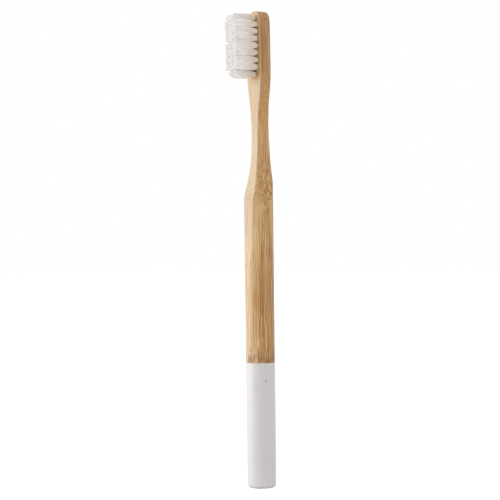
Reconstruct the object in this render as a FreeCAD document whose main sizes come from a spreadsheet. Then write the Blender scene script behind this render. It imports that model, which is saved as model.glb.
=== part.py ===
"""A bamboo manual toothbrush, standing on the dipped end of its handle.

Z runs up the handle, X across the head, and the bristles point to -Y. The origin is the middle of the
flat lower end, on the axis of the round grip. Lengths are in millimetres.
"""

import FreeCAD, Part
import math
import os
from collections import namedtuple
from types import SimpleNamespace

import Sketcher

SIZES = {
    # Handle, as turned: a round grip that draws in a little at the lower end
    "overall_length": 185.0,
    "grip_diameter": 11.3,
    "end_taper_length": 12.0,
    "end_taper_depth": 0.17,
    "end_rounding": 1.2,
    # Handle, front outline: head, flare, narrow neck and the scallop that runs into the grip
    "head_width": 11.1,
    "head_length": 23.0,
    "head_side_radius": 474.0,
    "head_corner_radius": 4.2,
    "flare_length": 25.5,
    "neck_width": 5.1,
    "neck_length": 5.5,
    "scallop_length": 24.0,
    # Handle, side outline: planed front with its ramp and thumb flat, and the long hollow at the back
    "front_offset": 1.45,
    "front_flat_length": 49.0,
    "front_ramp_length": 24.0,
    "thumb_flat_depth": 1.0,
    "thumb_flat_length": 18.0,
    "thumb_runout_length": 10.0,
    "back_offset": 3.15,
    "back_flat_length": 25.0,
    "back_ramp_length": 50.6,
    "edge_rounding": 0.45,
    # Dipped coat
    "coat_height": 48.5,
    "coat_thickness": 0.06,
    "coat_feather": 0.2,
    # Tuft field and the holes that it is set in
    "tuft_tip_margin": 2.6,
    "tuft_pitch": 2.755,
    "hole_diameter": 1.8,
    "hole_depth": 3.2,
    # Tufts
    "tuft_clearance": 0.02,
    "tuft_gap": 0.06,
    "tuft_flare_length": 3.8,
    "tuft_tip_diameter": 2.3,
    "tuft_tip_taper": 3.0,
    "tuft_tip_rounding": 0.35,
    "toe_bristle_length": 10.5,
    "heel_bristle_length": 10.1,
    "toe_trim_length": 0.9,
    "toe_trim_depth": 1.2,
    "heel_trim_length": 2.0,
    "heel_trim_depth": 1.85,
    # Flat wire anchors that hold the folded tufts
    "anchor_bite": 0.15,
    "anchor_height": 1.4,
    "anchor_thickness": 0.3,
    "fold_thickness": 0.35,
    # How far cuts reach past the wood
    "overrun": 1.0,
}

# Share of the flare's length at which its side turns from hollow to round
FLARE_HOLLOW_SHARE = 0.65

# Share of its own size by which a trimming cut reaches past the bristles
TRIM_OVERRUN_SHARE = 0.5

# How much of a face's normal lies along Y: at least so on the planed faces, at most so on the sides
PLANED_FACING_SHARE = 0.9
SIDE_FACING_SHARE = 0.5

# The tuft field: full columns of three, with a column of two at the toe and at the heel
COLUMN_COUNT = 9
FULL_ROWS = {"left": -1, "middle": 0, "right": 1}
END_ROWS = {"left": -0.5, "right": 0.5}

Tuft = namedtuple("Tuft", "name column x z")
Edge = namedtuple("Edge", "x y radius side")


class Size:
    """A number together with the sheet formula that it comes from."""

    def __init__(self, number, formula):
        self.number = number
        self.formula = formula

    def __add__(self, other):
        other = as_size(other)
        return Size(self.number + other.number, f"({self.formula} + {other.formula})")

    def __sub__(self, other):
        other = as_size(other)
        return Size(self.number - other.number, f"({self.formula} - {other.formula})")

    def __mul__(self, other):
        other = as_size(other)
        return Size(self.number * other.number, f"({self.formula} * {other.formula})")

    def __truediv__(self, other):
        other = as_size(other)
        return Size(self.number / other.number, f"({self.formula} / {other.formula})")

    def __neg__(self):
        return Size(-self.number, f"(-{self.formula})")

    def root(self):
        return Size(math.sqrt(self.number), f"sqrt({self.formula})")


def as_size(value):
    """A plain count or ratio as a Size; a Size stays as it is."""
    return value if isinstance(value, Size) else Size(value, repr(value))


def make_sheet(doc):
    """Write the driving sizes to a sheet and return them, with the places that follow from them."""
    sheet = doc.addObject("Spreadsheet::Sheet", "sizes")
    size = SimpleNamespace()
    for row, (alias, number) in enumerate(SIZES.items(), start=1):
        sheet.set(f"A{row}", alias)
        sheet.set(f"B{row}", repr(number))
        sheet.setAlias(f"B{row}", alias)
        setattr(size, alias, Size(number, f"sizes.{alias}"))
    doc.recompute()
    add_places(size)
    return size


def add_places(size):
    """Work out the radii and heights that several pieces share, from the tip of the head downwards."""
    size.grip_radius = size.grip_diameter / 2
    size.blank_half = size.grip_radius + size.overrun
    size.past_tip = size.overall_length + size.overrun
    size.head_half = size.head_width / 2
    size.neck_half = size.neck_width / 2
    size.head_widest = size.overall_length - size.head_length
    size.neck_top = size.head_widest - size.flare_length
    size.neck_bottom = size.neck_top - size.neck_length
    size.ramp_top = size.overall_length - size.front_flat_length
    size.shoulder = size.ramp_top - size.front_ramp_length
    size.thumb_offset = size.grip_radius - size.thumb_flat_depth
    size.thumb_bottom = size.shoulder - size.thumb_flat_length
    size.back_ramp_top = size.overall_length - size.back_flat_length
    size.seat = size.hole_depth - size.front_offset
    size.anchor_foot = size.seat - size.fold_thickness
    size.anchor_top = size.anchor_foot - size.anchor_height
    size.anchor_width = size.hole_diameter + size.anchor_bite * 2


def arc_radius(run, rise):
    """Radius of an arc that leaves a straight edge smoothly and stands off it by rise after run."""
    return (run * run + rise * rise) / (rise * 2)


def arc_run(radius, rise):
    """How far such an arc runs before it stands off by rise."""
    return (rise * (radius * 2 - rise)).root()


def line_to(x, y):
    return Edge(as_size(x), as_size(y), None, 0)


def arc_left(x, y, radius):
    return Edge(as_size(x), as_size(y), radius, 1)


def arc_right(x, y, radius):
    return Edge(as_size(x), as_size(y), radius, -1)


def corner(edge):
    return FreeCAD.Vector(edge.x.number, edge.y.number, 0)


def add_edge(sketch, start, edge):
    """Draw one edge and return its number and the numbers of its first and last point."""
    first = corner(start)
    last = corner(edge)
    if edge.radius is None:
        return sketch.addGeometry(Part.LineSegment(first, last)), 1, 2
    chord = last - first
    radius = edge.radius.number
    height = math.sqrt(radius**2 - (chord.Length / 2) ** 2)
    across = FreeCAD.Vector(-chord.y, chord.x, 0).normalize()
    centre = (first + last) / 2 + across * height * edge.side
    circle = Part.Circle(centre, FreeCAD.Vector(0, 0, 1), radius)
    turning = (first, last) if edge.side > 0 else (last, first)
    angles = [math.atan2(point.y - centre.y, point.x - centre.x) for point in turning]
    number = sketch.addGeometry(Part.ArcOfCircle(circle, *angles))
    bind(sketch, Sketcher.Constraint("Radius", number, radius), edge.radius)
    return (number, 1, 2) if edge.side > 0 else (number, 2, 1)


def bind(sketch, constraint, length):
    """Add a constraint whose value follows the sheet."""
    number = sketch.addConstraint(constraint)
    sketch.setExpression(f"Constraints[{number}]", length.formula)


def pin(sketch, edge, point, x, y):
    """Hold a point of an edge at its distances from the sketch's origin."""
    for kind, axis, length in (("DistanceX", -2, x), ("DistanceY", -1, y)):
        if length.number == 0:
            sketch.addConstraint(Sketcher.Constraint("PointOnObject", edge, point, axis))
        else:
            bind(sketch, Sketcher.Constraint(kind, -1, 1, edge, point, length.number), length)


def draw(sketch, *edges):
    """Draw a closed outline; it starts where the last edge ends."""
    starts = edges[-1:] + edges[:-1]
    drawn = [add_edge(sketch, start, edge) for start, edge in zip(starts, edges)]
    for edge, here, following in zip(edges, drawn, drawn[1:] + drawn[:1]):
        sketch.addConstraint(Sketcher.Constraint("Coincident", here[0], here[2], following[0], following[1]))
        pin(sketch, here[0], here[2], edge.x, edge.y)


def draw_box(sketch, x, y, width, height):
    """Draw a rectangle about its middle."""
    draw(
        sketch,
        line_to(x + width / 2, y - height / 2),
        line_to(x + width / 2, y + height / 2),
        line_to(x - width / 2, y + height / 2),
        line_to(x - width / 2, y - height / 2),
    )


def draw_circle(sketch, x, y, radius):
    middle = FreeCAD.Vector(x.number, y.number, 0)
    circle = sketch.addGeometry(Part.Circle(middle, FreeCAD.Vector(0, 0, 1), radius.number))
    bind(sketch, Sketcher.Constraint("Radius", circle, radius.number), radius)
    pin(sketch, circle, 3, x, y)


def new_body(doc, name):
    body = doc.addObject("PartDesign::Body", name)
    body.Label = name
    return body


def new_sketch(body, name, role, offset=None):
    """A sketch on one of the body's own origin planes, or moved off it along its normal."""
    sketch = body.newObject("Sketcher::SketchObject", f"{body.Name}_{name}")
    plane = next(feature for feature in body.Origin.OriginFeatures if feature.Role == role)
    sketch.AttachmentSupport = (plane, [""])
    sketch.MapMode = "FlatFace"
    if offset is not None:
        sketch.setExpression("AttachmentOffset.Base.z", offset.formula)
    return sketch


def add_feature(body, kind, name, profile):
    feature = body.newObject(f"PartDesign::{kind}", f"{body.Name}_{name}")
    feature.Profile = profile
    return feature


def cut_through(body, name, profile):
    """A pocket right through the body, both ways from its sketch."""
    pocket = add_feature(body, "Pocket", name, profile)
    pocket.SideType = "Symmetric"
    pocket.Type = "ThroughAll"
    return pocket


def cut_deep(body, name, profile, depth):
    pocket = add_feature(body, "Pocket", name, profile)
    pocket.setExpression("Length", depth.formula)
    return pocket


def turn(body, kind, name, profile):
    """A full revolution about the sketch's upright axis."""
    feature = add_feature(body, kind, name, profile)
    feature.ReferenceAxis = (profile, ["V_Axis"])
    feature.Angle = 360
    return feature


def draw_front_outline(sketch, size):
    """Half of the handle seen from the front, from the blank's lower end to the tip of the head."""
    scallop = arc_radius(size.scallop_length, size.grip_radius - size.neck_half)
    scallop_start = size.neck_bottom - arc_run(scallop, size.blank_half - size.neck_half)
    spread = size.head_half - size.neck_half
    flare = arc_radius(size.flare_length, spread)
    turn_x = size.neck_half + spread * FLARE_HOLLOW_SHARE
    turn_z = size.neck_top + size.flare_length * FLARE_HOLLOW_SHARE
    # The tip's round corner touches the long curve of the head's side from inside
    side = size.head_side_radius
    inner = side - size.head_corner_radius
    corner_z = size.overall_length - size.head_corner_radius - size.head_widest
    corner_x = (inner * inner - corner_z * corner_z).root()
    side_x = size.head_half - side
    draw(
        sketch,
        line_to(size.blank_half, -size.overrun),
        line_to(size.blank_half, scallop_start),
        arc_right(size.neck_half, size.neck_bottom, scallop),
        line_to(size.neck_half, size.neck_top),
        arc_right(turn_x, turn_z, flare * FLARE_HOLLOW_SHARE),
        arc_left(size.head_half, size.head_widest, flare * (1 - FLARE_HOLLOW_SHARE)),
        arc_left(side_x + corner_x * side / inner, size.head_widest + corner_z * side / inner, side),
        arc_left(side_x + corner_x, size.overall_length, size.head_corner_radius),
        line_to(0, size.overall_length),
        line_to(0, -size.overrun),
    )


def draw_front_relief(sketch, size):
    """What is planed off the front of the blank: ramp, neck and head in one pass."""
    ramp = arc_radius(size.front_ramp_length, size.thumb_offset - size.front_offset)
    ramp_run = arc_run(ramp, size.blank_half - size.front_offset)
    draw(
        sketch,
        arc_left(-size.front_offset, size.ramp_top, ramp),
        line_to(-size.front_offset, size.past_tip),
        line_to(-size.blank_half, size.past_tip),
        line_to(-size.blank_half, size.ramp_top - ramp_run),
    )


def draw_thumb_flat(sketch, size):
    """What is planed off the front of the turned grip: the thumb flat and its run-out."""
    runout_share = (size.blank_half - size.thumb_offset) / size.thumb_flat_depth
    draw(
        sketch,
        line_to(-size.thumb_offset, size.thumb_bottom),
        line_to(-size.thumb_offset, size.ramp_top),
        line_to(-size.blank_half, size.ramp_top),
        line_to(-size.blank_half, size.thumb_bottom - size.thumb_runout_length * runout_share),
    )


def draw_back_relief(sketch, size):
    """What is planed off the back: one long hollow from the grip to the head."""
    hollow = arc_radius(size.back_ramp_length, size.grip_radius - size.back_offset)
    hollow_run = arc_run(hollow, size.blank_half - size.back_offset)
    draw(
        sketch,
        arc_right(size.back_offset, size.back_ramp_top, hollow),
        line_to(size.back_offset, size.past_tip),
        line_to(size.blank_half, size.past_tip),
        line_to(size.blank_half, size.back_ramp_top - hollow_run),
    )


def end_arc(size):
    """Middle of the arc that rounds the grip's end, and the direction in which it meets the taper."""
    run = size.end_taper_length
    depth = size.end_taper_depth
    slope = (run * run + depth * depth).root()
    middle_x = size.grip_radius - depth + size.end_rounding * (depth - slope) / run
    middle_z = size.coat_thickness + size.end_rounding
    return middle_x, middle_z, run / slope, -depth / slope


def draw_turning(sketch, size):
    """What is turned off round the grip and its end."""
    middle_x, middle_z, out_x, out_z = end_arc(size)
    clear = size.blank_half * 2
    draw(
        sketch,
        line_to(middle_x, size.coat_thickness),
        arc_left(middle_x + size.end_rounding * out_x, middle_z + size.end_rounding * out_z, size.end_rounding),
        line_to(size.grip_radius, size.coat_thickness + size.end_taper_length),
        line_to(size.grip_radius, size.neck_bottom),
        line_to(clear, size.neck_bottom),
        line_to(clear, -size.overrun * 2),
        line_to(0, -size.overrun * 2),
        line_to(0, size.coat_thickness),
    )


def draw_coat(sketch, size):
    """Half section of the coat, from the middle of the end to its feathered rim and back."""
    middle_x, middle_z, out_x, out_z = end_arc(size)
    outer = size.end_rounding + size.coat_thickness
    outer_radius = size.grip_radius + size.coat_thickness
    taper_top = size.coat_thickness + size.end_taper_length
    draw(
        sketch,
        line_to(middle_x, 0),
        arc_left(middle_x + outer * out_x, middle_z + outer * out_z, outer),
        line_to(outer_radius, taper_top),
        line_to(outer_radius, size.coat_height - size.coat_feather),
        line_to(size.grip_radius, size.coat_height),
        line_to(size.grip_radius, taper_top),
        line_to(middle_x + size.end_rounding * out_x, middle_z + size.end_rounding * out_z),
        arc_right(middle_x, size.coat_thickness, size.end_rounding),
        line_to(0, size.coat_thickness),
        line_to(0, 0),
    )


def rim_edges(shape, size):
    """The edges where the planed front and back of the blank meet its sides, within the grip's radius."""
    names = []
    for number, edge in enumerate(shape.Edges, start=1):
        middle = edge.valueAt((edge.FirstParameter + edge.LastParameter) / 2)
        faces = shape.ancestorsOfType(edge, Part.Face)
        facing = [abs(face.normalAt(*face.Surface.parameter(middle)).y) for face in faces]
        planed_to_side = max(facing) > PLANED_FACING_SHARE and min(facing) < SIDE_FACING_SHARE
        if planed_to_side and max(abs(middle.x), abs(middle.y)) < size.grip_radius.number:
            names.append(f"Edge{number}")
    return names


def column_height(size, column):
    """Height of a tuft column; column 1 is at the toe."""
    return size.overall_length - size.tuft_tip_margin - size.tuft_pitch * (column - 1)


def tuft_places(size):
    """Every tuft of the field, with its name and its place on the head."""
    tufts = []
    for column in range(1, COLUMN_COUNT + 1):
        rows = END_ROWS if column in (1, COLUMN_COUNT) else FULL_ROWS
        for row, step in rows.items():
            name = f"tuft_{column}_{row}"
            tufts.append(Tuft(name, column, size.tuft_pitch * step, column_height(size, column)))
    return tufts


def drill_field(body, size, name, columns, column_step, rows):
    """Drill one tuft hole with its anchor's bite, then repeat both across and up the head."""
    first_x = size.tuft_pitch * min(rows.values())
    first_z = column_height(size, max(columns))
    hole_sketch = new_sketch(body, f"{name}_hole_sketch", "XZ_Plane", size.front_offset)
    draw_circle(hole_sketch, first_x, first_z, size.hole_diameter / 2)
    hole = cut_deep(body, f"{name}_hole", hole_sketch, size.hole_depth)
    bite_sketch = new_sketch(body, f"{name}_bite_sketch", "XZ_Plane", -size.anchor_top)
    draw_box(bite_sketch, first_x, first_z, size.anchor_width, size.anchor_thickness)
    bite = cut_deep(body, f"{name}_bite", bite_sketch, size.anchor_height)
    field = body.newObject("PartDesign::LinearPattern", f"{body.Name}_{name}_field")
    field.Originals = [hole, bite]
    field.Direction = (hole_sketch, ["H_Axis"])
    field.Mode = "Spacing"
    field.Occurrences = len(rows)
    field.setExpression("Offset", size.tuft_pitch.formula)
    field.Direction2 = (hole_sketch, ["V_Axis"])
    field.Mode2 = "Spacing"
    field.Occurrences2 = len(columns)
    field.setExpression("Offset2", (size.tuft_pitch * column_step).formula)
    body.Tip = field


def make_handle(doc, size):
    """The bamboo handle: sawn to its front outline, planed, rounded, turned, planed for the thumb and drilled."""
    body = new_body(doc, "handle")
    outline = new_sketch(body, "front_outline", "XZ_Plane")
    draw_front_outline(outline, size)
    blank = add_feature(body, "Pad", "half_blank", outline)
    blank.SideType = "Symmetric"
    blank.setExpression("Length", (size.blank_half * 2).formula)
    mirrored = body.newObject("PartDesign::Mirrored", "handle_blank")
    mirrored.Originals = [blank]
    mirrored.MirrorPlane = (outline, ["V_Axis"])
    body.Tip = mirrored
    front = new_sketch(body, "front_relief_sketch", "YZ_Plane")
    draw_front_relief(front, size)
    cut_through(body, "front_relief", front)
    back = new_sketch(body, "back_relief_sketch", "YZ_Plane")
    draw_back_relief(back, size)
    planed = cut_through(body, "back_relief", back)
    doc.recompute()
    rounding = body.newObject("PartDesign::Fillet", "handle_rounded_rim")
    rounding.Base = (planed, rim_edges(planed.Shape, size))
    rounding.setExpression("Radius", size.edge_rounding.formula)
    doc.recompute()
    turning = new_sketch(body, "turning_sketch", "XZ_Plane")
    draw_turning(turning, size)
    turn(body, "Groove", "turned_grip", turning)
    thumb = new_sketch(body, "thumb_flat_sketch", "YZ_Plane")
    draw_thumb_flat(thumb, size)
    cut_through(body, "thumb_flat", thumb)
    doc.recompute()
    drill_field(body, size, "full", range(2, COLUMN_COUNT), 1, FULL_ROWS)
    drill_field(body, size, "end", (1, COLUMN_COUNT), COLUMN_COUNT - 1, END_ROWS)
    return body


def make_coat(doc, size):
    """The thin coat that the lower end was dipped in."""
    body = new_body(doc, "dip_coat")
    section = new_sketch(body, "section", "XZ_Plane")
    draw_coat(section, size)
    turn(body, "Revolution", "shell", section)
    return body


def draw_tuft(sketch, size, length):
    """Half section of a tuft: root in its hole, flare, swelling where neighbours touch, and tip."""
    root = size.hole_diameter / 2 - size.tuft_clearance
    swell = (size.tuft_pitch - size.tuft_gap) / 2
    tip = size.tuft_tip_diameter / 2
    face = size.front_offset
    draw(
        sketch,
        line_to(root, size.seat),
        line_to(root, -face),
        line_to(swell, -(face + size.tuft_flare_length)),
        line_to(swell, -(face + length - size.tuft_tip_taper)),
        line_to(tip, -(face + length - size.tuft_tip_rounding)),
        line_to(tip - size.tuft_tip_rounding, -(face + length)),
        line_to(0, -(face + length)),
        line_to(0, size.seat),
    )


def draw_trim(sketch, size, length, trim_length, trim_depth, side):
    """A three-cornered cut over the outer side of an end tuft's tip."""
    swell = (size.tuft_pitch - size.tuft_gap) / 2
    tip = -(size.front_offset + length)
    past_y = tip - trim_depth * TRIM_OVERRUN_SHARE
    past_z = swell + trim_length * TRIM_OVERRUN_SHARE
    draw(
        sketch,
        line_to(past_y, past_z * side),
        line_to(tip + trim_depth * (1 + TRIM_OVERRUN_SHARE), past_z * side),
        line_to(past_y, (swell - trim_length * (1 + TRIM_OVERRUN_SHARE)) * side),
    )


def make_tuft(doc, size, tuft):
    """One nylon tuft, folded under its anchor and trimmed to the brush's profile."""
    body = new_body(doc, tuft.name)
    slant = (size.heel_bristle_length - size.toe_bristle_length) / (COLUMN_COUNT - 1)
    length = size.toe_bristle_length + slant * (tuft.column - 1)
    section = new_sketch(body, "section", "XY_Plane")
    draw_tuft(section, size, length)
    turn(body, "Revolution", "bundle", section)
    window = new_sketch(body, "window_sketch", "YZ_Plane")
    middle = size.anchor_top + size.anchor_height / 2
    draw_box(window, middle, as_size(0), size.anchor_height, size.anchor_thickness)
    cut_through(body, "window", window)
    if tuft.column == 1:
        trim = new_sketch(body, "trim_sketch", "YZ_Plane")
        draw_trim(trim, size, length, size.toe_trim_length, size.toe_trim_depth, 1)
        cut_through(body, "trim", trim)
    if tuft.column == COLUMN_COUNT:
        trim = new_sketch(body, "trim_sketch", "YZ_Plane")
        draw_trim(trim, size, length, size.heel_trim_length, size.heel_trim_depth, -1)
        cut_through(body, "trim", trim)
    body.setExpression("Placement.Base.x", tuft.x.formula)
    body.setExpression("Placement.Base.z", tuft.z.formula)
    return body


def make_anchors(doc, size, tufts):
    """The flat wire anchors, one across each hole, as a group of separate plates."""
    plates = []
    for tuft in tufts:
        plate = doc.addObject("Part::Box", f"anchor_{tuft.name}")
        plate.setExpression("Length", size.anchor_width.formula)
        plate.setExpression("Width", size.anchor_height.formula)
        plate.setExpression("Height", size.anchor_thickness.formula)
        plate.setExpression("Placement.Base.x", (tuft.x - size.anchor_width / 2).formula)
        plate.setExpression("Placement.Base.y", size.anchor_top.formula)
        plate.setExpression("Placement.Base.z", (tuft.z - size.anchor_thickness / 2).formula)
        plates.append(plate)
    group = doc.addObject("Part::Compound", "tuft_anchors")
    group.Label = "tuft_anchors"
    group.Links = plates
    return group


def check(doc, pieces):
    """Stop before anything is written if a feature failed or a piece isn't a sound solid."""
    for feature in doc.Objects:
        if "Invalid" in feature.State or "Error" in feature.State:
            raise RuntimeError(f"{feature.Label} failed: {feature.State}")
    for piece in pieces:
        if piece.Shape.isNull() or not piece.Shape.isValid() or not piece.Shape.Solids:
            raise RuntimeError(f"{piece.Label} is not a sound solid")


def main():
    doc = FreeCAD.newDocument("toothbrush")
    size = make_sheet(doc)
    tufts = tuft_places(size)
    pieces = [make_handle(doc, size), make_coat(doc, size)]
    pieces += [make_tuft(doc, size, tuft) for tuft in tufts]
    pieces.append(make_anchors(doc, size, tufts))
    doc.recompute()
    check(doc, pieces)
    os.makedirs("parts", exist_ok=True)
    for piece in pieces:
        piece.Shape.exportStep(f"parts/{piece.Label}.step")
        print(piece.Label, len(piece.Shape.Solids), round(piece.Shape.Volume, 3))


main()
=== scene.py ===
"""Looks of the bamboo toothbrush: grain, dipped lacquer, filament tufts, studio light and camera.

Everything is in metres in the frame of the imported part: Z up the handle, bristles to -Y, X across the head.
"""

import math
import random

import bpy
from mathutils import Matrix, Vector


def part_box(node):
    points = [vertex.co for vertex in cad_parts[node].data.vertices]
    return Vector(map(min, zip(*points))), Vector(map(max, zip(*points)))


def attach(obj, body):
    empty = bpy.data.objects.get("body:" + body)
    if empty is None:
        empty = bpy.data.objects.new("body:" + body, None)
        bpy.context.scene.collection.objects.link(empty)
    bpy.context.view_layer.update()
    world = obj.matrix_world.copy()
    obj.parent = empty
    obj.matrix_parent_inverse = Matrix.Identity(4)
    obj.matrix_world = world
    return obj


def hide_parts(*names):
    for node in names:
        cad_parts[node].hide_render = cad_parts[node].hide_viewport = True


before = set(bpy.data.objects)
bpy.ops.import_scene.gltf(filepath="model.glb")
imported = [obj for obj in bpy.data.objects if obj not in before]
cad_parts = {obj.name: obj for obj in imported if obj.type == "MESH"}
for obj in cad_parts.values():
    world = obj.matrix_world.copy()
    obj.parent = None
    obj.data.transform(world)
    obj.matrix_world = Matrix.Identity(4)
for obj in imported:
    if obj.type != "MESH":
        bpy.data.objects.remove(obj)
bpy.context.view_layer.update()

MM = 0.001

# Camera: where it stands round the brush, how high, how far, and how the picture is framed
CAMERA_AZIMUTH = math.radians(61.0)
CAMERA_ROLL = math.radians(-0.7)
CAMERA_DISTANCE = 584.7 * MM
CAMERA_HEIGHT = 92.3 * MM
CAMERA_SIDESTEP = -3.56 * MM
CAMERA_LENS = 108.1
CAMERA_SENSOR = 36.0
CAMERA_NEAREST = 10.0 * MM

# Light: a white surround, dimmer to the far left, and one large soft panel to the left of the camera
SURROUND_LEVEL = 1.03
DIP_AZIMUTH = math.radians(-100.0)
DIP_DEPTH = 0.35
PANEL_AZIMUTH = math.radians(-31.0)
PANEL_DISTANCE = 0.8
PANEL_HEIGHT = 0.2
PANEL_SIZE = 0.8
PANEL_POWER = 6.3

# Floor: pale, lifted to white for the camera, with a faint shadow left in it
FLOOR_RADIUS = 6.0
FLOOR_CORNERS = 96
FLOOR_DROP = 0.02 * MM
FLOOR_COLOR = (0.8, 0.8, 0.8, 1.0)
FLOOR_SHADE_COLOR = (0.5, 0.5, 0.5, 1.0)
FLOOR_LIFT = 0.7

# Bamboo: where in its pattern the grain starts, and the heights between which its looks change
GRAIN_START = (31.0 * MM, 17.0 * MM, 0.0)
SWAY_FADE = (112.0 * MM, 85.0 * MM)
SWAY_REACH = (0.8 * MM, 2.2 * MM)
GRIP_FADE = (102.0 * MM, 90.0 * MM)
CALM_START = (136.0 * MM, 143.0 * MM)
CALM_END = (161.0 * MM, 156.0 * MM)
HEAD_DARK_FADE = (150.0 * MM, 166.0 * MM)
FACE_FADE = (156.5 * MM, 159.5 * MM)
JOINT_FADE = (61.5 * MM, 54.0 * MM)
JOINT_RAGGEDNESS = 9.0 * MM
# Drilled field of the head, where its face is painted pale as painted light: its middle, and half its length
# and width, as (full, faded out)
FIELD_MIDDLE = 171.4 * MM
FIELD_LENGTH = (9.0 * MM, 10.0 * MM)
FIELD_WIDTH = (2.9 * MM, 3.6 * MM)
# Height of the chipped edge at the foot, and how far the painted shade and, nearer the head, the painted
# light reach into the bristles
CHIP_FADE = (1.4 * MM, 0.4 * MM)
ROOT_PAINTED_SHADE_FADE = (-10.5 * MM, -2.5 * MM)
ROOT_PAINTED_LIGHT_FADE = (-4.5 * MM, -2.0 * MM)

# Places on the brush: middle, and half sizes along X, Y and Z
AMBER_PATCH = ((4.0 * MM, -4.0 * MM, 72.5 * MM), (1.8 * MM, 1.8 * MM, 6.0 * MM))
KNOT = ((5.2 * MM, -2.2 * MM, 50.3 * MM), (1.1 * MM, 1.1 * MM, 1.2 * MM))
COAT_SPECK = ((5.65 * MM, -0.82 * MM, 41.6 * MM), (0.75 * MM, 0.75 * MM, 0.75 * MM))

# Colours, and ramps of (position, colour) stops
WHITE = (1.0, 1.0, 1.0, 1.0)
FIBRE_COLOR = (0.22, 0.085, 0.02, 1.0)
HEAD_DARK_COLOR = (0.25, 0.115, 0.04, 1.0)
FACE_COLOR = (0.52, 0.31, 0.13, 1.0)
# Painted light: the pale colour of the head's face between the tufts
FIELD_PAINTED_LIGHT_COLOR = (0.95, 0.82, 0.58, 1.0)
AMBER_COLOR = (0.4, 0.18, 0.025, 1.0)
JOINT_COLOR = (0.2, 0.08, 0.025, 1.0)
SPECK_COLOR = (0.2, 0.18, 0.17, 1.0)
CHIP_COLOR = (0.22, 0.16, 0.1, 1.0)
# Painted shade and painted light in the bristles near the head
ROOT_PAINTED_SHADE = (0.78, 0.655, 0.545, 1.0)
ROOT_PAINTED_LIGHT = (0.93, 0.82, 0.7, 1.0)
# Painted shade on the bristles' cut ends
CUT_END_PAINTED_SHADE = (0.58, 0.56, 0.545, 1.0)
SIDE_TONES = (
    (0.0, (0.275, 0.112, 0.028)),
    (0.35, (0.425, 0.215, 0.07)),
    (0.65, (0.53, 0.3, 0.108)),
    (1.0, (0.66, 0.44, 0.205)),
)
# Front tones: the wood's colour made paler by a painted sheen
FRONT_TONES_WITH_PAINTED_SHEEN = ((0.0, (0.35, 0.213, 0.1)), (0.45, (0.44, 0.306, 0.169)), (1.0, (0.515, 0.394, 0.25)))
LACQUER_TONES = ((0.25, (0.515, 0.495, 0.49)), (0.75, (0.555, 0.535, 0.53)))
NYLON_TONES = ((0.0, (0.87, 0.845, 0.83)), (1.0, (0.925, 0.905, 0.895)))
BRASS_TONES = ((0.3, (0.7, 0.53, 0.25)), (0.7, (0.83, 0.67, 0.37)))
# How milky the nylon is, and how deep light goes into it
MILKINESS = 0.6
MILK_DEPTH = 0.15 * MM

# Tufts: loose filaments folded under their anchor, round in the hole and fanned out beyond the head.
# A leg is half of a folded filament.
LEGS_ACROSS = 10
LEG_ROWS = 12
# Where even and odd rows start, in steps from the tuft's edge
ROW_STARTS = (0.75, 0.25)
# How far each leg strays from its place, as a share of half a tuft
LEG_SHAKE = 0.015
# Where along a leg its rings stand, as shares of its length beyond the head
LEG_STEPS = (0.03, 0.09, 0.18, 0.3, 0.44, 0.6, 0.8, 1.0)
# Rise and width of the rings that round off a filament's end, as shares of its radius
DOME_RINGS = ((0.0, 1.0), (0.5, 0.87), (0.87, 0.5))
FILAMENT_SIDES = 6
FILAMENT_ROOT_RADIUS = 0.07 * MM
FILAMENT_RADIUS = 0.146 * MM
HEAD_FACE = -1.45 * MM
ROOT_RADIUS = 0.88 * MM
FLARE_LENGTH = 3.2 * MM
FLARE_POWER = 0.6
FLARE_SPREAD = 0.25
# The middle row opens in this share of that length
MIDDLE_FLARE = 0.4
END_FLARE = 0.35 * MM
CORNER_ROUNDING = 0.06
# The most that a tuft stays narrower than its share of the head
TUFT_GATHER = 0.03
TIP_TAPER = 4.5 * MM
FOLD_START = 1.4 * MM
FOLD_DEPTH = 1.62 * MM
ANCHOR_TOP = -0.3 * MM
ANCHOR_HALF = 0.26 * MM
TIP_UNEVENNESS = 0.14 * MM
TUFT_UNEVENNESS = 0.05 * MM
TUFT_LEAN = 0.07 * MM
UPWARD_LEAN_SHARE = 0.3
BEND_POWER = 1.5
FILAMENT_LEAN = 0.05 * MM
# For each column from the toe to the heel, in the left row: how far its tips lean up the head, and how much
# they draw together
COLUMN_LEAN = tuple(part * MM for part in (0.0, 0.06, 0.18, 0.34, -0.3, -0.2, -0.14, 0.06, -0.24))
COLUMN_SQUEEZE = (0.0, 0.02, 0.06, 0.13, 0.14, 0.15, 0.14, 0.15, 0.16)
# The other rows lean and draw together by this share of it
NEAR_ROW_SHARE = 0.12
# How far in from each end the tips are cut back, and by how much
TOE_TRIM = (0.9 * MM, 1.2 * MM)
HEEL_TRIM = (2.0 * MM, 1.85 * MM)
COLUMN_COUNT = 9
TUFT_SEED = 41


def add_node(tree, kind, inputs=None, **settings):
    """Add a shader node; inputs maps a socket's name or number to a value or to another node's output."""
    made = tree.nodes.new(f"ShaderNode{kind}")
    for name, value in settings.items():
        setattr(made, name, value)
    for name, value in (inputs or {}).items():
        if isinstance(value, bpy.types.NodeSocket):
            tree.links.new(value, made.inputs[name])
        else:
            made.inputs[name].default_value = value
    return made


def math_node(tree, operation, first, second=0.0):
    return add_node(tree, "Math", {0: first, 1: second}, operation=operation).outputs[0]


def times(tree, first, second):
    return math_node(tree, "MULTIPLY", first, second)


def weigh(tree, *terms):
    """Sum of (value, weight) terms."""
    total = None
    for value, weight in terms:
        part = times(tree, value, weight)
        total = part if total is None else math_node(tree, "ADD", total, part)
    return total


def stretch(tree, vector, scale):
    """Coordinates scaled along each axis, so that a texture is drawn out along the grain."""
    return add_node(tree, "VectorMath", {0: vector, 1: scale}, operation="MULTIPLY").outputs[0]


def noise(tree, vector, scale, detail=2.0, roughness=0.5):
    return add_node(
        tree,
        "TexNoise",
        {"Vector": stretch(tree, vector, scale), "Scale": 1.0, "Detail": detail, "Roughness": roughness},
    )


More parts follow.
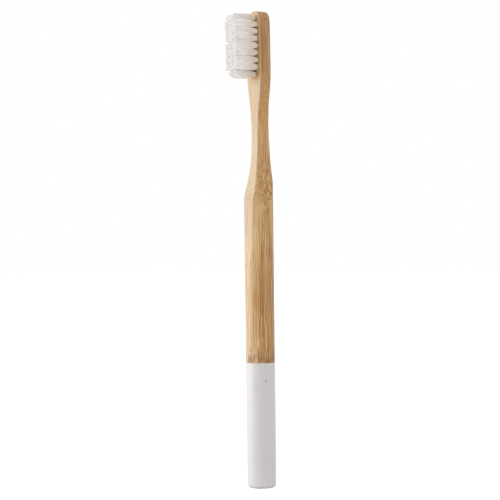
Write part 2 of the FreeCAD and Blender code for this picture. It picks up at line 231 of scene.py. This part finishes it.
def spread(tree, value, low, high, to_low=0.0, to_high=1.0):
    """Map low..high smoothly onto to_low..to_high."""
    made = add_node(
        tree,
        "MapRange",
        {"Value": value, "From Min": low, "From Max": high, "To Min": to_low, "To Max": to_high},
        interpolation_type="SMOOTHSTEP",
    )
    return made.outputs[0]


def vein(tree, value, width):
    """Thin lines where a texture passes through its middle."""
    away = math_node(tree, "ABSOLUTE", math_node(tree, "SUBTRACT", value, 0.5))
    return spread(tree, away, width, 0.0)


def spot_at(tree, coords, center, size):
    """1 at a place on the brush, fading to 0 at the given half sizes along X, Y and Z."""
    away = add_node(tree, "VectorMath", {0: coords, 1: center}, operation="SUBTRACT").outputs[0]
    away = stretch(tree, away, tuple(1 / part for part in size))
    distance = add_node(tree, "VectorMath", {0: away}, operation="LENGTH").outputs["Value"]
    return spread(tree, distance, 1.0, 0.25)


def band_at(tree, value, middle, full, none):
    """1 within the half width full about a middle, fading to 0 at the half width none."""
    away = math_node(tree, "ABSOLUTE", math_node(tree, "SUBTRACT", value, middle))
    return spread(tree, away, none, full)


def mix_color(tree, factor, first, second):
    return add_node(tree, "Mix", {0: factor, 6: first, 7: second}, data_type="RGBA").outputs[2]


def ramp(tree, factor, *stops):
    """A colour ramp with the given (position, colour) stops."""
    made = add_node(tree, "ValToRGB", {0: factor})
    elements = made.color_ramp.elements
    while len(elements) < len(stops):
        elements.new(1.0)
    for element, (position, color) in zip(elements, stops):
        element.position = position
        element.color = (*color, 1.0)
    return made.outputs[0]


def new_material(name):
    material = bpy.data.materials.new(name)
    material.use_nodes = True
    material.node_tree.nodes.clear()
    return material, material.node_tree


def finish_material(tree, inputs):
    """Close a material with its surface shader."""
    surface = add_node(tree, "BsdfPrincipled", inputs)
    add_node(tree, "OutputMaterial", {"Surface": surface.outputs[0]})


def bump(tree, height, strength, distance):
    made = add_node(tree, "Bump", {"Height": height, "Strength": strength, "Distance": distance})
    return made.outputs[0]


def bamboo_grain(tree, coords, height):
    """Coordinates along the fibre bundles, which wander on their way up, most of all low on the grip."""
    sway = noise(tree, coords, (130.0, 130.0, 28.0), 2.0).outputs["Color"]
    sway = add_node(tree, "VectorMath", {0: sway, 1: (0.5, 0.5, 0.5)}, operation="SUBTRACT").outputs[0]
    reach = spread(tree, height, *SWAY_FADE, *SWAY_REACH)
    sway = add_node(tree, "VectorMath", {0: sway, "Scale": reach}, operation="SCALE").outputs[0]
    sway = stretch(tree, sway, (1.0, 1.0, 0.0))
    sway = add_node(tree, "VectorMath", {0: sway, 1: GRAIN_START}).outputs[0]
    return add_node(tree, "VectorMath", {0: coords, 1: sway}).outputs[0]


def bamboo_bundles(tree, grain):
    """Fibre bundles: dark dots drawn out along the grain, some stronger than others."""
    cells = add_node(
        tree,
        "TexVoronoi",
        {"Vector": stretch(tree, grain, (2100.0, 2100.0, 45.0)), "Scale": 1.0, "Randomness": 1.0},
    )
    strength = add_node(tree, "SeparateColor", {0: cells.outputs["Color"]}).outputs[0]
    dot = spread(tree, cells.outputs["Distance"], 0.45, 0.1)
    return times(tree, dot, spread(tree, strength, 0.3, 0.85))


def bamboo_marks(tree, color, coords, height, frontness, streak):
    """What differs along the handle: the head's darker sides and its face, an amber patch, a joint above the
    coat.
    """
    # The head is darker on its sides, fading out towards its face
    head_dark = times(tree, spread(tree, height, *HEAD_DARK_FADE), spread(tree, frontness, 0.0, 1.0, 0.4, 0.0))
    color = mix_color(tree, head_dark, color, HEAD_DARK_COLOR)
    # Fresh golden wood shows on the face of the head. Between the tufts the face is painted pale: painted
    # light standing in for light that the bristles let through into the shaded gaps
    face = times(tree, spread(tree, height, *FACE_FADE), frontness)
    color = mix_color(tree, times(tree, face, 0.7), color, FACE_COLOR)
    aside = add_node(tree, "SeparateXYZ", {0: coords}).outputs[0]
    painted_field_light = times(
        tree,
        band_at(tree, aside, 0.0, *FIELD_WIDTH),
        band_at(tree, height, FIELD_MIDDLE, *FIELD_LENGTH),
    )
    color = mix_color(tree, times(tree, painted_field_light, face), color, FIELD_PAINTED_LIGHT_COLOR)
    patch = times(tree, spot_at(tree, coords, *AMBER_PATCH), spread(tree, streak, 0.35, 0.65, 0.85, 0.35))
    color = mix_color(tree, patch, color, AMBER_COLOR)
    # The joint of the cane is darker, mottled wood with a small knot
    ragged = noise(tree, coords, (420.0, 420.0, 260.0), 3.0, 0.6).outputs[0]
    from_joint = math_node(tree, "ADD", height, times(tree, ragged, JOINT_RAGGEDNESS))
    joint = times(tree, spread(tree, from_joint, *JOINT_FADE), spread(tree, ragged, 0.38, 0.58))
    knot = spot_at(tree, coords, *KNOT)
    joint = math_node(tree, "MAXIMUM", times(tree, joint, 0.8), times(tree, knot, 0.75))
    return mix_color(tree, joint, color, JOINT_COLOR)


def make_bamboo():
    """Bamboo: its fibres run up the handle, so straight faces show streaks and slanting cuts show flecks."""
    material, tree = new_material("bamboo")
    place = add_node(tree, "TexCoord")
    coords = place.outputs["Object"]
    facing = times(tree, add_node(tree, "SeparateXYZ", {0: place.outputs["Normal"]}).outputs[1], -1.0)
    height = add_node(tree, "SeparateXYZ", {0: coords}).outputs[2]
    grain = bamboo_grain(tree, coords, height)
    fine = noise(tree, grain, (4800.0, 4800.0, 50.0), 2.0, 0.6).outputs[0]
    streak = noise(tree, grain, (2700.0, 2700.0, 24.0), 2.0, 0.6).outputs[0]
    broad = noise(tree, grain, (240.0, 240.0, 17.0), 1.0).outputs[0]
    line = noise(tree, grain, (1700.0, 1700.0, 11.0), 1.0).outputs[0]
    bundle = bamboo_bundles(tree, grain)
    # Round the grip the wood is painted lighter towards the bristle side, a painted highlight where the
    # panel's light and sheen fall; from the shoulder up it is lighter all round
    on_grip = spread(tree, height, *GRIP_FADE)
    to_front = math_node(tree, "MAXIMUM", facing, 0.0)
    lighter = math_node(tree, "SUBTRACT", times(tree, to_front, 0.06), 0.036)
    lighter = math_node(tree, "ADD", times(tree, on_grip, lighter), 0.015)
    tone = weigh(tree, (streak, 0.45), (fine, 0.4), (broad, 0.15))
    tone = spread(tree, math_node(tree, "ADD", tone, lighter), 0.4, 0.6)
    # The upper neck is planed nearly along the fibres, so its pattern is calmer
    calm = math_node(tree, "MINIMUM", spread(tree, height, *CALM_START), spread(tree, height, *CALM_END))
    tone = times(tree, math_node(tree, "SUBTRACT", tone, 0.5), spread(tree, calm, 0.0, 1.0, 1.0, 0.5))
    tone = math_node(tree, "ADD", tone, 0.5)
    # The bristle side is painted paler than the others, on the grip a little less so: a painted sheen for the
    # light its faces reflect
    frontness = times(tree, spread(tree, facing, 0.42, 0.98), spread(tree, on_grip, 0.0, 1.0, 1.0, 0.7))
    color = mix_color(tree, frontness, ramp(tree, tone, *SIDE_TONES), ramp(tree, tone, *FRONT_TONES_WITH_PAINTED_SHEEN))
    dark = math_node(tree, "MAXIMUM", bundle, vein(tree, line, 0.035))
    # Fibre lines are painted fainter on the bristle side too, painted light that keeps it pale
    shade = times(tree, dark, spread(tree, frontness, 0.0, 0.7, 0.7, 0.12))
    shade = times(tree, shade, spread(tree, calm, 0.0, 1.0, 1.0, 0.35))
    color = mix_color(tree, shade, color, FIBRE_COLOR)
    relief = weigh(tree, (fine, 0.6), (bundle, -0.5))
    finish_material(
        tree,
        {
            "Base Color": bamboo_marks(tree, color, coords, height, frontness, streak),
            "Roughness": spread(tree, streak, 0.2, 0.8, 0.46, 0.34),
            "Specular IOR Level": 0.5,
            "Normal": bump(tree, relief, 0.2, 0.06 * MM),
        },
    )
    return material


def make_lacquer():
    """White lacquer over the dipped end: satin, a little uneven, with the odd speck under it."""
    material, tree = new_material("white_lacquer")
    coords = add_node(tree, "TexCoord").outputs["Object"]
    height = add_node(tree, "SeparateXYZ", {0: coords}).outputs[2]
    cloud = noise(tree, coords, (260.0, 260.0, 120.0), 3.0, 0.55).outputs[0]
    color = ramp(tree, cloud, *LACQUER_TONES)
    specks = add_node(tree, "TexVoronoi", {"Vector": coords, "Scale": 190.0, "Randomness": 1.0})
    rare = add_node(tree, "SeparateColor", {0: specks.outputs["Color"]}).outputs[1]
    speck = times(tree, spread(tree, specks.outputs["Distance"], 0.09, 0.03), spread(tree, rare, 0.86, 0.9))
    mark = spot_at(tree, coords, *COAT_SPECK)
    speck = math_node(tree, "MAXIMUM", times(tree, speck, 0.5), times(tree, mark, 0.6))
    color = mix_color(tree, speck, color, SPECK_COLOR)
    # The edge at the foot is chipped where the brush has been set down
    ragged = noise(tree, coords, (700.0, 700.0, 500.0), 2.0).outputs[0]
    chipped = times(tree, spread(tree, height, *CHIP_FADE), spread(tree, ragged, 0.54, 0.62))
    color = mix_color(tree, times(tree, chipped, 0.6), color, CHIP_COLOR)
    peel = noise(tree, coords, (900.0, 900.0, 700.0), 2.0).outputs[0]
    ridges = noise(tree, coords, (1500.0, 1500.0, 40.0), 2.0).outputs[0]
    finish_material(
        tree,
        {
            "Base Color": color,
            "Roughness": spread(tree, cloud, 0.2, 0.8, 0.34, 0.46),
            "Specular IOR Level": 1.0,
            "Normal": bump(tree, weigh(tree, (peel, 0.5), (ridges, 0.5)), 0.2, 0.05 * MM),
        },
    )
    return material


def make_nylon():
    """White nylon filament: each one a shade of its own, and milky right through."""
    material, tree = new_material("nylon_bristle")
    own = add_node(tree, "NewGeometry").outputs["Random Per Island"]
    place = add_node(tree, "TexCoord")
    coords = place.outputs["Object"]
    facing = times(tree, add_node(tree, "SeparateXYZ", {0: place.outputs["Normal"]}).outputs[1], -1.0)
    along = noise(tree, coords, (300.0, 900.0, 300.0), 1.0).outputs[0]
    color = ramp(tree, weigh(tree, (own, 0.6), (along, 0.4)), *NYLON_TONES)
    # Near the head the filaments are painted darker and warmer, painted shade where light is lost among the
    # roots;
    # closer still they are painted lighter, painted light standing in for light scattered from the wood
    depth = add_node(tree, "SeparateXYZ", {0: coords}).outputs[1]
    color = mix_color(tree, spread(tree, depth, *ROOT_PAINTED_SHADE_FADE), color, ROOT_PAINTED_SHADE)
    color = mix_color(tree, spread(tree, depth, *ROOT_PAINTED_LIGHT_FADE), color, ROOT_PAINTED_LIGHT)
    # The cut ends are painted greyer than the sides: painted shade for the shadows between the filaments'
    # ends
    color = mix_color(tree, spread(tree, facing, 0.25, 0.85), color, CUT_END_PAINTED_SHADE)
    finish_material(
        tree,
        {
            "Base Color": color,
            "Roughness": spread(tree, own, 0.0, 1.0, 0.32, 0.48),
            "Subsurface Weight": MILKINESS,
            "Subsurface Radius": (1.0, 1.0, 1.0),
            "Subsurface Scale": MILK_DEPTH,
        },
    )
    return material


def make_brass():
    """Drawn flat brass wire, cut into anchors."""
    material, tree = new_material("anchor_wire")
    coords = add_node(tree, "TexCoord").outputs["Object"]
    drawn = noise(tree, coords, (400.0, 6000.0, 6000.0), 2.0).outputs[0]
    color = ramp(tree, drawn, *BRASS_TONES)
    finish_material(
        tree,
        {
            "Base Color": color,
            "Metallic": 1.0,
            "Roughness": spread(tree, drawn, 0.3, 0.7, 0.26, 0.42),
            "Normal": bump(tree, drawn, 0.2, 0.02 * MM),
        },
    )
    return material


def leg_points(spot, lean, squeeze, length, half, tip_y, outer, flank, flare):
    """Centre line and radii of one leg, from its fold to its tip, about the tuft's axis.

    spot is the leg's place in the tuft, from -1 to 1 along X and Z. outer is the way along Z that has no
    neighbouring tuft and flank the way along X, 0 where both ways have one. flare is the length in which
    the leg opens.
    """
    # The same spot in the square that the tuft fans out to and in the round hole that it leaves
    in_hole = (spot[0] * math.sqrt(1 - spot[1] ** 2 / 2), spot[1] * math.sqrt(1 - spot[0] ** 2 / 2))
    fanned = 1 if spot[0] * flank > 0 else 1 - CORNER_ROUNDING * abs(spot[0] * spot[1])
    points, widths = [], []
    span = tip_y - HEAD_FACE
    steps = [FOLD_START, 0.5 * FOLD_START, ANCHOR_TOP, HEAD_FACE]
    steps += [HEAD_FACE + span * share for share in LEG_STEPS]
    for y in steps:
        beyond = HEAD_FACE - y
        share = min(1.0, max(0.0, beyond / flare))
        opened = share**FLARE_POWER
        width = FILAMENT_ROOT_RADIUS + (FILAMENT_RADIUS - FILAMENT_ROOT_RADIUS) * opened
        drawn = 1 - squeeze * max(0.0, beyond - length + TIP_TAPER) / TIP_TAPER
        x = in_hole[0] * (ROOT_RADIUS - width) * (1 - opened) + spot[0] * half * fanned * opened
        reach = ROOT_RADIUS + END_FLARE if spot[1] * outer > 0 else half
        z = in_hole[1] * (ROOT_RADIUS - width) * (1 - opened) + spot[1] * reach * fanned * opened * drawn
        # Beside the anchor the two legs part to let its plate through
        parted = min(1.0, max(0.0, -beyond / (ANCHOR_TOP - HEAD_FACE)))
        z += ANCHOR_HALF * (1 - abs(spot[1])) * math.copysign(1.0, spot[1]) * parted
        bent = max(0.0, beyond / length) ** BEND_POWER
        points.append(Vector((x + lean[0] * bent, y, z + lean[1] * bent)))
        widths.append(width)
    return points, widths


def packed_spots():
    """Where the legs of a tuft stand in a square from -1 to 1: in staggered rows, like a honeycomb."""
    step = 2 / LEGS_ACROSS
    spots = []
    for row in range(LEG_ROWS):
        start = -1 + step * ROW_STARTS[row % 2]
        spots += [(start + step * place, (2 * row + 1) / LEG_ROWS - 1) for place in range(LEGS_ACROSS)]
    return spots


def trim_cut(z, half, trim, side):
    """How much a filament of an end column is cut back, by where it stands in its tuft."""
    if trim is None:
        return 0.0
    return max(0.0, z * side - (half - trim[0])) * trim[1] / trim[0]


def ring(center, radius, along):
    """Points round a filament, square to its direction."""
    across = along.cross(Vector((1.0, 0.0, 0.0)))
    if across.length < 0.1:
        across = along.cross(Vector((0.0, 0.0, 1.0)))
    across.normalize()
    up = along.cross(across)
    turns = [2 * math.pi * side / FILAMENT_SIDES for side in range(FILAMENT_SIDES)]
    return [center + (across * math.cos(turn) + up * math.sin(turn)) * radius for turn in turns]


def add_filament(path, widths, vertices, faces):
    """A closed round tube along a path, with domed ends."""
    first = len(vertices)
    count = len(path)
    aims = [(path[min(i + 1, count - 1)] - path[max(i - 1, 0)]).normalized() for i in range(count)]
    first_end, last_end = aims[0] * widths[0], aims[-1] * widths[-1]
    rings = []
    for rise, wide in reversed(DOME_RINGS):
        rings.append((path[0] + first_end * (1 - rise), widths[0] * wide, aims[0]))
    rings += [(path[i], widths[i], aims[i]) for i in range(1, count - 1)]
    for rise, wide in DOME_RINGS:
        rings.append((path[-1] - last_end * (1 - rise), widths[-1] * wide, aims[-1]))
    for center, radius, aim in rings:
        vertices.extend(ring(center, radius, aim))
    for step in range(len(rings) - 1):
        low = first + step * FILAMENT_SIDES
        for side in range(FILAMENT_SIDES):
            after = (side + 1) % FILAMENT_SIDES
            high = low + FILAMENT_SIDES
            faces.append((low + side, low + after, high + after, high + side))
    faces.append(tuple(reversed(range(first, first + FILAMENT_SIDES))))
    last = first + (len(rings) - 1) * FILAMENT_SIDES
    faces.append(tuple(range(last, last + FILAMENT_SIDES)))


def middle_of(node):
    low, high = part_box(node)
    return (low + high) / 2


def make_tuft(column, row, half, material, chance):
    """One tuft of folded filaments, in the place of its plain solid."""
    node = f"tuft_{column}_{row}"
    tip_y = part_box(node)[0].y
    axis = middle_of(node)
    axis.y = 0.0
    length = HEAD_FACE - tip_y
    trim, side = {1: (TOE_TRIM, 1), COLUMN_COUNT: (HEEL_TRIM, -1)}.get(column, (None, 0))
    share = 1.0 if row == "left" else NEAR_ROW_SHARE
    squeeze = COLUMN_SQUEEZE[column - 1] * share
    across_lean = chance.gauss(0, TUFT_LEAN)
    upward_lean = COLUMN_LEAN[column - 1] * share + chance.gauss(0, TUFT_LEAN) * UPWARD_LEAN_SHARE
    tuft_lean = (across_lean, upward_lean)
    flank = {"left": -1, "right": 1}.get(row, 0)
    short = abs(chance.gauss(0, TUFT_UNEVENNESS))
    half *= 1 - chance.random() ** 2 * TUFT_GATHER
    spots = [(x + chance.gauss(0, LEG_SHAKE), z + chance.gauss(0, LEG_SHAKE)) for x, z in packed_spots()]
    spots.sort(key=lambda spot: spot[1])
    folds = len(spots) // 2
    vertices, faces = [], []
    for pair in zip(sorted(spots[:folds]), sorted(spots[folds:])):
        halves = []
        for spot in pair:
            lean = [part + chance.gauss(0, FILAMENT_LEAN) for part in tuft_lean]
            cut = short + trim_cut(spot[1] * half, half, trim, side) + chance.random() ** 2 * TIP_UNEVENNESS
            flare = FLARE_LENGTH * chance.uniform(1 - FLARE_SPREAD, 1 + FLARE_SPREAD)
            flare *= 1.0 if flank else MIDDLE_FLARE
            halves.append(leg_points(spot, lean, squeeze, length, half, tip_y + cut, side, flank, flare))
        under = (halves[0][0][0] + halves[1][0][0]) / 2
        under.y = FOLD_DEPTH
        path = halves[0][0][::-1] + [under] + halves[1][0]
        widths = halves[0][1][::-1] + [FILAMENT_ROOT_RADIUS] + halves[1][1]
        add_filament([axis + point for point in path], widths, vertices, faces)
    name = f"filaments_{column}_{row}"
    mesh = bpy.data.meshes.new(name)
    mesh.from_pydata(vertices, [], faces)
    mesh.polygons.foreach_set("use_smooth", [True] * len(mesh.polygons))
    mesh.materials.append(material)
    piece = bpy.data.objects.new(name, mesh)
    bpy.context.scene.collection.objects.link(piece)
    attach(piece, "root")
    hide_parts(node)


def make_tufts(material):
    chance = random.Random(TUFT_SEED)
    half = (middle_of("tuft_2_right").x - middle_of("tuft_2_middle").x) / 2
    for column in range(1, COLUMN_COUNT + 1):
        rows = ("left", "right") if column in (1, COLUMN_COUNT) else ("left", "middle", "right")
        for row in rows:
            make_tuft(column, row, half, material, chance)


def dress(node, material):
    """Give a CAD node its finished material."""
    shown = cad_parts[node]
    shown.data.materials.clear()
    shown.data.materials.append(material)


def make_floor():
    """A plain pale floor that reads as white and keeps the brush's shadow."""
    material, tree = new_material("floor")
    plain = add_node(tree, "BsdfDiffuse", {"Color": FLOOR_COLOR})
    shaded = add_node(tree, "BsdfDiffuse", {"Color": FLOOR_SHADE_COLOR})
    glow = add_node(tree, "Emission", {"Color": WHITE, "Strength": FLOOR_LIFT})
    lifted = add_node(tree, "AddShader", {0: shaded.outputs[0], 1: glow.outputs[0]})
    choice = {0: background_rays(tree), 1: plain.outputs[0], 2: lifted.outputs[0]}
    seen = add_node(tree, "MixShader", choice)
    add_node(tree, "OutputMaterial", {"Surface": seen.outputs[0]})
    turns = [2 * math.pi * corner / FLOOR_CORNERS for corner in range(FLOOR_CORNERS)]
    rim = [(FLOOR_RADIUS * math.cos(turn), FLOOR_RADIUS * math.sin(turn), -FLOOR_DROP) for turn in turns]
    mesh = bpy.data.meshes.new("floor")
    mesh.from_pydata(rim, [], [tuple(range(FLOOR_CORNERS))])
    mesh.materials.append(material)
    floor = bpy.data.objects.new("floor", mesh)
    bpy.context.scene.collection.objects.link(floor)


def background_rays(tree):
    """1 where the camera sees the background itself, or in a reflection or through something clear."""
    path = add_node(tree, "LightPath")
    seen = math_node(tree, "MAXIMUM", path.outputs["Is Camera Ray"], path.outputs["Is Glossy Ray"])
    return math_node(tree, "MAXIMUM", seen, path.outputs["Is Transmission Ray"])


def make_world():
    world = bpy.data.worlds.new("studio")
    bpy.context.scene.world = world
    world.use_nodes = True
    tree = world.node_tree
    tree.nodes.clear()
    # The panel already lights the far left, so the surround is dimmer there
    ray = add_node(tree, "TexCoord").outputs["Generated"]
    dip = around(DIP_AZIMUTH, 1.0, 0.0)
    toward = add_node(tree, "VectorMath", {0: ray, 1: dip}, operation="DOT_PRODUCT")
    level = spread(tree, toward.outputs["Value"], 0.0, 1.0, SURROUND_LEVEL, SURROUND_LEVEL - DIP_DEPTH)
    surround = add_node(tree, "Background", {"Color": WHITE, "Strength": level})
    backdrop = add_node(tree, "Background", {"Color": WHITE, "Strength": 1.0})
    choice = {0: background_rays(tree), 1: surround.outputs[0], 2: backdrop.outputs[0]}
    seen = add_node(tree, "MixShader", choice)
    add_node(tree, "OutputWorld", {"Surface": seen.outputs[0]})


def around(azimuth, distance, height):
    """A place round the handle's axis; azimuth 0 is in front of the bristles, 90 degrees on the +X side."""
    return Vector((math.sin(azimuth) * distance, -math.cos(azimuth) * distance, height))


def make_panel():
    data = bpy.data.lights.new("panel", "AREA")
    data.shape = "SQUARE"
    data.size = PANEL_SIZE
    data.energy = PANEL_POWER
    panel = bpy.data.objects.new("panel", data)
    panel.location = around(PANEL_AZIMUTH, PANEL_DISTANCE, PANEL_HEIGHT)
    aim = Vector((0.0, 0.0, CAMERA_HEIGHT)) - panel.location
    panel.rotation_euler = aim.to_track_quat("-Z", "Y").to_euler()
    bpy.context.scene.collection.objects.link(panel)


def make_camera():
    data = bpy.data.cameras.new("camera")
    data.sensor_width = CAMERA_SENSOR
    data.lens = CAMERA_LENS
    data.clip_start = CAMERA_NEAREST
    camera = bpy.data.objects.new("camera", data)
    rightward = Vector((math.cos(CAMERA_AZIMUTH), math.sin(CAMERA_AZIMUTH), 0.0))
    camera.location = around(CAMERA_AZIMUTH, CAMERA_DISTANCE, CAMERA_HEIGHT) + rightward * CAMERA_SIDESTEP
    camera.rotation_euler = (math.pi / 2, -CAMERA_ROLL, CAMERA_AZIMUTH)
    bpy.context.scene.collection.objects.link(camera)
    bpy.context.scene.camera = camera


dress("handle", make_bamboo())
dress("dip_coat", make_lacquer())
dress("tuft_anchors", make_brass())
make_tufts(make_nylon())
make_floor()
make_world()
make_panel()
make_camera()
bpy.context.scene.view_settings.view_transform = "Standard"
